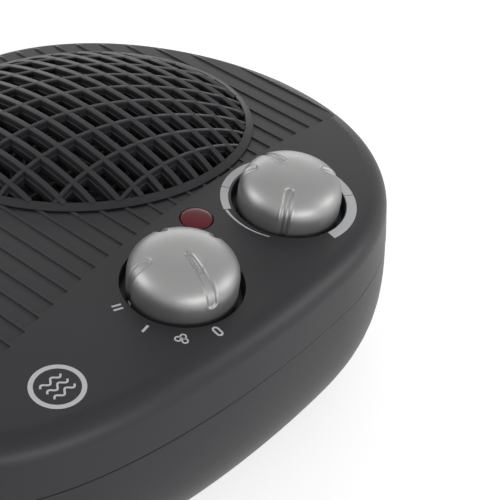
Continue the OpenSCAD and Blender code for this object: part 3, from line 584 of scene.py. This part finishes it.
# Rim as (inset, height over the face): its tilted band, the step to the bars, and the skirt below.
RIM_BAND = [(0, 0), (0, 0.3), (0.15, 0.48), (0.5, 0.66), (1.2, 0.98), (2.2, 1.38), (3.0, 1.66), (3.35, 1.7)]
RIM_STEP = [(RIM_W, 1.5), (RIM_W, 0)]
SKIRT_OUT, SKIRT_IN = 2.9, 4.3
SKIRT = [(SKIRT_IN, 0), (SKIRT_IN, -SKIRT_D), (SKIRT_OUT, -SKIRT_D), (SKIRT_OUT, 0)]
RIM_SECTION = RIM_BAND + RIM_STEP + SKIRT
grille = skin("grille", [level(grille_outline(inset), FACE_Z + z) for inset, z in RIM_SECTION], closed=True)


def line_in_grille(point_at, low, high, limit, step=0.25):
    """The stretch of a line that lies inside the grille, or None."""
    us = np.arange(low, high, step)
    inside = [u for u in us if grille_rho(*point_at(u)) < limit]
    return (inside[0], inside[-1]) if len(inside) > SHORTEST_BAR / step else None


def cross_point(k, u):
    """Point of thin bar k, at u beyond the middle between the knobs."""
    m = min(k, CROSS_STEEPEST)
    slope = CROSS_SLOPE[0] + CROSS_SLOPE[1] * m + CROSS_SLOPE[2] * m * m
    return MID_X + u, ROW_Y + CROSS_FIRST + CROSS_PITCH * k + slope * u + CROSS_BEND * u * u / 2


for k in range(-BARS_EACH_WAY, BARS_EACH_WAY + 1):
    x = RIB_ZERO + k * RIB_PITCH
    ends = line_in_grille(lambda y: (x, y), GRILLE_Y - GRILLE_LONG, GRILLE_Y + GRILLE_LONG, BAR_LIMIT)
    if ends:
        add(grille, bar([(x, y) for y in span(*ends, 48)], BAR_W))
for k in range(1, CROSS_COUNT + 1):
    ends = line_in_grille(lambda u: cross_point(k, u), *CROSS_SEARCH, BAR_LIMIT)
    if ends:
        add(grille, bar([cross_point(k, u) for u in span(*ends, 64)], CROSS_W))
finish_piece(grille, "housing", shell_look, ["front_grille"])


# Knobs: a superellipse turned about the axis, with grooves pressed into its skin.
def smooth_step(low, high, value):
    t = np.clip((value - low) / (high - low), 0, 1)
    return t * t * (3 - 2 * t)


def knob_skin():
    """Radius, height and outward slope along the skin, and its length from the crown."""
    a = np.radians(np.concatenate([span(0, 20, 24), span(20, 70, 70)[1:], span(70, 90, 24)[1:]]))
    r = KNOB_R * np.sin(a) ** (2 / KNOB_POWER)
    z = KNOB_SIDE + (KNOB_RISE - KNOB_SIDE) * np.cos(a) ** (2 / KNOB_POWER)
    below = span(KNOB_SIDE, KNOB_BOTTOM + KNOB_BEVEL[-1][0], 12)[1:]
    r, z = np.append(r, np.full(len(below), KNOB_R)), np.append(z, below)
    dr, dz = np.gradient(r), np.gradient(z)
    size = np.hypot(dr, dz)
    length = np.concatenate([[0], np.cumsum(np.hypot(np.diff(r), np.diff(z)))])
    return r, z, -dz / size, dr / size, length


def bump(distance, half):
    """1 at no distance, and 0 from half on."""
    return 1 - smooth_step(0, half, np.abs(distance))


def relief(r, length, turn, start, foot, detail):
    """Height of the skin near one groove that points along the angle 0."""
    x, y = r * np.cos(turn), r * np.sin(turn)
    along = np.where(length > foot, np.hypot(length - foot, y), np.abs(y))
    off = np.where(x < start, np.hypot(x - start, y), along)
    off = np.where(x < 0, NO_END, off)
    height = -GROOVE_DEEP * (1 - smooth_step(GROOVE_HALF - GROOVE_WALL, GROOVE_HALF, off))
    height += RAISED_HIGH * bump(off - GROOVE_HALF - RAISED_OFF, RAISED_HALF)
    return height + detail(x, y, off)


def arrow(x, y, off):
    """Outline of an arrow on the floor of the pointer groove."""
    on_tail = (x > ARROW_TAIL[0]) & (x < ARROW_TAIL[1])
    on_head = (x > ARROW_HEAD[0]) & (x < ARROW_HEAD[1])
    tail = np.where(on_tail, bump(np.abs(y) - ARROW_TAIL_HALF, ARROW_TAIL_SOFT), 0)
    head = np.where(on_head, bump((ARROW_TIP - x) * ARROW_FLARE - np.abs(y), ARROW_HEAD_SOFT), 0)
    return ARROW_HIGH * np.maximum(tail, head) * (off < GROOVE_HALF)


def ridge(x, y, off):
    """One ridge along the middle of a groove, between its raised edges."""
    fade = smooth_step(GROOVE_HALF + RIDGE_FADE[0], RIDGE_FADE[1], off)
    return RIDGE_HIGH * bump(y, RIDGE_HALF) * fade * (x > 0)


def plain(x, y, off):
    """A groove with a bare floor."""
    return 0.0


def knob(name, centre, rest, grooves, body, node):
    """A knob whose pointer stands at the angle rest; grooves are (angle, start, foot, detail)."""
    r, z, out_r, out_z, length = knob_skin()
    turn = span(0, 2 * math.pi, KNOB_N)[:-1]
    rings = []
    for i in range(1, len(r)):
        height = sum(relief(r[i], length[i], (turn - math.radians(at)), start, foot, detail)
                     for at, start, foot, detail in grooves)
        radius = np.minimum(r[i] + out_r[i] * height, KNOB_R)
        top = np.minimum(z[i] + out_z[i] * height, KNOB_RISE)
        rings.append(np.column_stack([radius * np.cos(turn), radius * np.sin(turn), top * np.ones(KNOB_N)]))
    hollow_r = KNOB_R - KNOB_WALL
    edge = [(KNOB_R - inset, KNOB_BOTTOM + up) for inset, up in KNOB_BEVEL]
    edge += [(hollow_r, KNOB_BOTTOM), (hollow_r, HOLLOW_SIDE), (hollow_r - HOLLOW_SLOPE[0], HOLLOW_SLOPE[1]),
             (HUB_R, HOLLOW_TOP), (HUB_R, KNOB_BOTTOM), (SHAFT_R, KNOB_BOTTOM), (SHAFT_R, SHAFT_TOP)]
    rings += [level(circle(radius, KNOB_N), top) for radius, top in edge]
    c, s = math.cos(math.radians(rest)), math.sin(math.radians(rest))
    rotate = np.array([[c, s, 0], [-s, c, 0], [0, 0, 1]])
    place = np.array([*centre, FACE_Z])
    obj = skin(name, [ring @ rotate + place for ring in rings])
    return finish_piece(obj, body, silver_look, [node], sharp=KNOB_SHARP)


# Grooves as the photo shows them, the pointer first: angle, and distance of the start from the axis.
# The mode pointer ends at the length POINTER_FOOT along the skin, and the others run off the side.
POINTER_FOOT = 24.0
MODE_POINTER = (-2, 2.6)
MODE_GROOVES = ((-100, 14.8), (108, 16.5), (180, 16.0))
THERMO_GROOVES = ((-3, 12.6), (-92, 16.0), (-137, 7.5), (112, 14.0))
mode_at, thermo_at = wells
knob("mode_knob_cap", mode_at, MODE_REST,
     [(*MODE_POINTER, POINTER_FOOT, arrow)] + [(*groove, NO_END, plain) for groove in MODE_GROOVES],
     "mode_dial", "mode_knob")
knob("thermostat_knob_cap", thermo_at, THERMO_REST,
     [(*groove, NO_END, ridge) for groove in THERMO_GROOVES], "thermostat_dial", "thermostat_knob")

# Pilot lamp lens.
LENS_CROWN = 0.9
LENS_RIM, LENS_INSIDE, LENS_FOOT, LENS_SHOULDER = 1.2, 3.5, 5.7, 2.1
lens_cup = [(0, FACE_Z - LENS_INSIDE), (LENS_R - LENS_RIM, FACE_Z - LENS_INSIDE),
            (LENS_R - LENS_RIM, FACE_Z - LENS_FOOT), (LENS_R + LENS_RIM, FACE_Z - LENS_FOOT),
            (LENS_R + LENS_RIM, FACE_Z - LENS_SHOULDER), (LENS_R, FACE_Z - LENS_SHOULDER)]
lens_dome = [(LENS_R * math.cos(a), FACE_Z + LENS_CROWN * math.sin(a)) for a in np.radians(span(0, 84, 14))]
lens = turned("lamp_lens", lens_cup + lens_dome + [(0, FACE_Z + LENS_CROWN)], LENS_AT)
finish_piece(lens, "housing", lens_look, ["indicator_lens"])

# Prints on the face, as thin raised ink.
INK_LOW, INK_HIGH = FACE_Z - 0.05, FACE_Z + 0.07


def polar(centre, r, degrees):
    return centre[0] + r * math.cos(math.radians(degrees)), centre[1] + r * math.sin(math.radians(degrees))


def ink(obj):
    """Finishes a print, which stands for no CAD node."""
    return finish_piece(obj, "housing", print_look)


def stroke(path, width):
    """Outline of a line of even width along a path, with square ends."""
    path = np.asarray(path, float)
    d = np.gradient(path, axis=0)
    d /= np.linalg.norm(d, axis=1, keepdims=True)
    side = np.stack([-d[:, 1], d[:, 0]], 1) * width / 2
    return np.concatenate([path + side, (path - side)[::-1]])


def ink_bar(name, start, end, width):
    return ink(prism(name, stroke([start, end], width), INK_LOW, INK_HIGH))


def ink_ring(name, outer, inner):
    return ink(skin(name, [level(outer, INK_LOW), level(outer, INK_HIGH), level(inner, INK_HIGH),
                           level(inner, INK_LOW)], closed=True))


# Strokes round the mode knob: name, outer end and inner end as (radius, angle), width.
STROKES = (("mark_two_a", (28.95, 159.9), (25.4, 160.5), 0.8),
           ("mark_two_b", (29.2, 163.7), (25.6, 164.8), 0.8),
           ("mark_one", (29.65, 191.5), (25.9, 192.0), 0.95))
FAN_RINGS = ((-54.3, -17.68), (-56.43, -17.03), (-55.48, -19.5))
FAN_OUTER, FAN_INNER = 1.32, 0.72
for name, outer_end, inner_end, width in STROKES:
    ink_bar(name, polar(mode_at, *outer_end), polar(mode_at, *inner_end), width)
for i, (u, v) in enumerate(FAN_RINGS):
    at = np.array((MID_X + u, ROW_Y + v))
    ink_ring(f"mark_fan_{i}", circle(FAN_OUTER, SIDES) + at, circle(FAN_INNER, SIDES) + at)


def oblong(centre, length, width, degrees, n=24):
    """A rectangle with round ends."""
    r = width / 2
    t = span(-math.pi / 2, math.pi / 2, n)
    cap = np.column_stack([length / 2 - r + r * np.cos(t), r * np.sin(t)])
    points = np.concatenate([cap, -cap])
    a = math.radians(degrees)
    turn = np.array([[math.cos(a), math.sin(a)], [-math.sin(a), math.cos(a)]])
    return points @ turn + np.array(centre)


ZERO_TURN, ZERO_OUTER, ZERO_INNER = 258, (4.9, 2.7), (3.4, 1.2)
zero_at = polar(mode_at, 27.1, 246.3)
ink_ring("mark_zero", oblong(zero_at, *ZERO_OUTER, ZERO_TURN), oblong(zero_at, *ZERO_INNER, ZERO_TURN))


def scale_band(name, start, end, inner, outer):
    """Part of the thermostat's scale; inner and outer are radii at its start and end."""
    turns = span(start, end, max(4, int(abs(end - start) / 2)))

    def arc(radii):
        return [polar(thermo_at, r, a) for r, a in zip(np.interp(turns, (end, start), radii[::-1]), turns)]

    return ink(prism(name, np.array(arc(outer) + arc(inner)[::-1]), INK_LOW, INK_HIGH))


# Every band runs down from its start, with its inner and outer radii at both ends.
for name, start, end, inner, outer in (
        ("scale_a", 198.5, 148.1, (24.65, 25.95), (24.95, 26.95)),
        ("scale_b", 147.1, 116.6, (24.35, 24.1), (27.3, 27.4)),
        ("scale_c", 115.8, -38.1, (24.1, 23.45), (27.4, 27.4)),
        ("scale_d", -38.9, -103.5, (23.45, 23.45), (27.4, 27.4))):
    scale_band(name, start, end, inner, outer)

# A ring round a plain sign for warm air: a frame with three waves in it.
SIGN_AT = np.array((MID_X - 99.9, ROW_Y - 2.2))
SIGN_R, SIGN_LINE = 9.63, 1.7
WAVE_REACH, WAVE_PITCH, WAVE_HIGH, WAVE_HALF, WAVE_LINE = 4.6, 3.2, 0.9, 2.3, 0.75
ink_ring("sign_ring", circle(SIGN_R, LARGE_SIDES) + SIGN_AT,
         circle(SIGN_R - SIGN_LINE, LARGE_SIDES) + SIGN_AT)
for i in (-1, 0, 1):
    wave = [(SIGN_AT[0] + a, SIGN_AT[1] + WAVE_PITCH * i + WAVE_HIGH * math.sin(a * math.pi / WAVE_HALF))
            for a in span(-WAVE_REACH, WAVE_REACH, 40)]
    ink(prism(f"sign_wave_{i + 1}", stroke(wave, WAVE_LINE), INK_LOW, INK_HIGH))

# Camera, from the best fit to the view of the photograph.
CAMERA_AT = (-263.69, -244.18, 377.82)
CAMERA_TURN = (49.27, -5.71, -52.348)
FOCAL_PX, FRAME_PX = 1175.15, 500
CENTRE_PX = (233.09, 241.31)
SENSOR_MM = 36.0
camera = bpy.data.cameras.new("camera")
camera.sensor_width = SENSOR_MM
camera.lens = FOCAL_PX / FRAME_PX * camera.sensor_width
camera.shift_x = (FRAME_PX / 2 - CENTRE_PX[0]) / FRAME_PX
camera.shift_y = (CENTRE_PX[1] - FRAME_PX / 2) / FRAME_PX
camera.clip_start = 0.01
eye = bpy.data.objects.new("camera", camera)
eye.location = [MM * c for c in CAMERA_AT]
eye.rotation_euler = Euler([math.radians(a) for a in CAMERA_TURN])
bpy.context.scene.collection.objects.link(eye)
bpy.context.scene.camera = eye

# Floor, world and lamps.
SEEN_RAYS = ("Is Camera Ray", "Is Glossy Ray", "Is Transmission Ray")


def any_seen(nodes, links):
    """1 where a surface is looked at or mirrored, and 0 where it only gives light."""
    path = nodes.new("ShaderNodeLightPath")
    total = path.outputs[SEEN_RAYS[0]]
    for name in SEEN_RAYS[1:]:
        most = nodes.new("ShaderNodeMath")
        most.operation = "MAXIMUM"
        links.new(total, most.inputs[0])
        links.new(path.outputs[name], most.inputs[1])
        total = most.outputs[0]
    return total


FLOOR_HALF = 3.0
FLOOR_PAPER, FLOOR_GLOW = 0.82, 0.55
corners = [(FLOOR_HALF * x, FLOOR_HALF * y, 0) for x, y in ((-1, -1), (1, -1), (1, 1), (-1, 1))]
floor_mesh = bpy.data.meshes.new("floor")
floor_mesh.from_pydata(corners, [], [(0, 1, 2, 3)])
floor = bpy.data.objects.new("floor", floor_mesh)
bpy.context.scene.collection.objects.link(floor)
floor_look = bpy.data.materials.new("floor")
floor_look.use_nodes = True
nodes, links = floor_look.node_tree.nodes, floor_look.node_tree.links
nodes.clear()
out = nodes.new("ShaderNodeOutputMaterial")
paper = nodes.new("ShaderNodeBsdfDiffuse")
paper.inputs["Color"].default_value = (FLOOR_PAPER, FLOOR_PAPER, FLOOR_PAPER, 1)
glow = nodes.new("ShaderNodeEmission")
glow_level = nodes.new("ShaderNodeMath")
glow_level.operation = "MULTIPLY"
glow_level.inputs[1].default_value = FLOOR_GLOW
links.new(any_seen(nodes, links), glow_level.inputs[0])
links.new(glow_level.outputs[0], glow.inputs["Strength"])
both = nodes.new("ShaderNodeAddShader")
links.new(paper.outputs[0], both.inputs[0])
links.new(glow.outputs[0], both.inputs[1])
links.new(both.outputs[0], out.inputs["Surface"])
floor_mesh.materials.append(floor_look)

WORLD_LIGHT = 0.35
world = bpy.data.worlds.new("world")
bpy.context.scene.world = world
world.use_nodes = True
nodes, links = world.node_tree.nodes, world.node_tree.links
sky = nodes["Background"]
sky.inputs["Color"].default_value = (1, 1, 1, 1)
sky_level = nodes.new("ShaderNodeMapRange")
sky_level.inputs["To Min"].default_value = WORLD_LIGHT
sky_level.inputs["To Max"].default_value = 1.0
links.new(any_seen(nodes, links), sky_level.inputs["Value"])
links.new(sky_level.outputs["Result"], sky.inputs["Strength"])


def lamp(name, place, target, size, watts):
    """A rectangular lamp in metres, turned to its target."""
    data = bpy.data.lights.new(name, "AREA")
    data.shape, data.size, data.size_y, data.energy = "RECTANGLE", *size, watts
    obj = bpy.data.objects.new(name, data)
    obj.location = place
    obj.rotation_euler = (Vector(target) - Vector(place)).to_track_quat("-Z", "Y").to_euler()
    bpy.context.scene.collection.objects.link(obj)


lamp("far_lamp", (1.05, 0.85, 0.42), (0, 0, 0.08), (1.3, 0.3), 4)
lamp("left_lamp", (-0.60, 0.70, 0.42), (0, 0, 0.08), (0.5, 0.5), 3)
lamp("near_lamp", (-0.40, -0.95, 0.34), (-0.05, -0.1, 0.08), (0.9, 0.3), 4.5)
lamp("right_lamp", (0.60, -0.75, 0.42), (0, -0.1, 0.08), (0.5, 0.4), 2.5)
bpy.context.scene.view_settings.view_transform = "Standard"
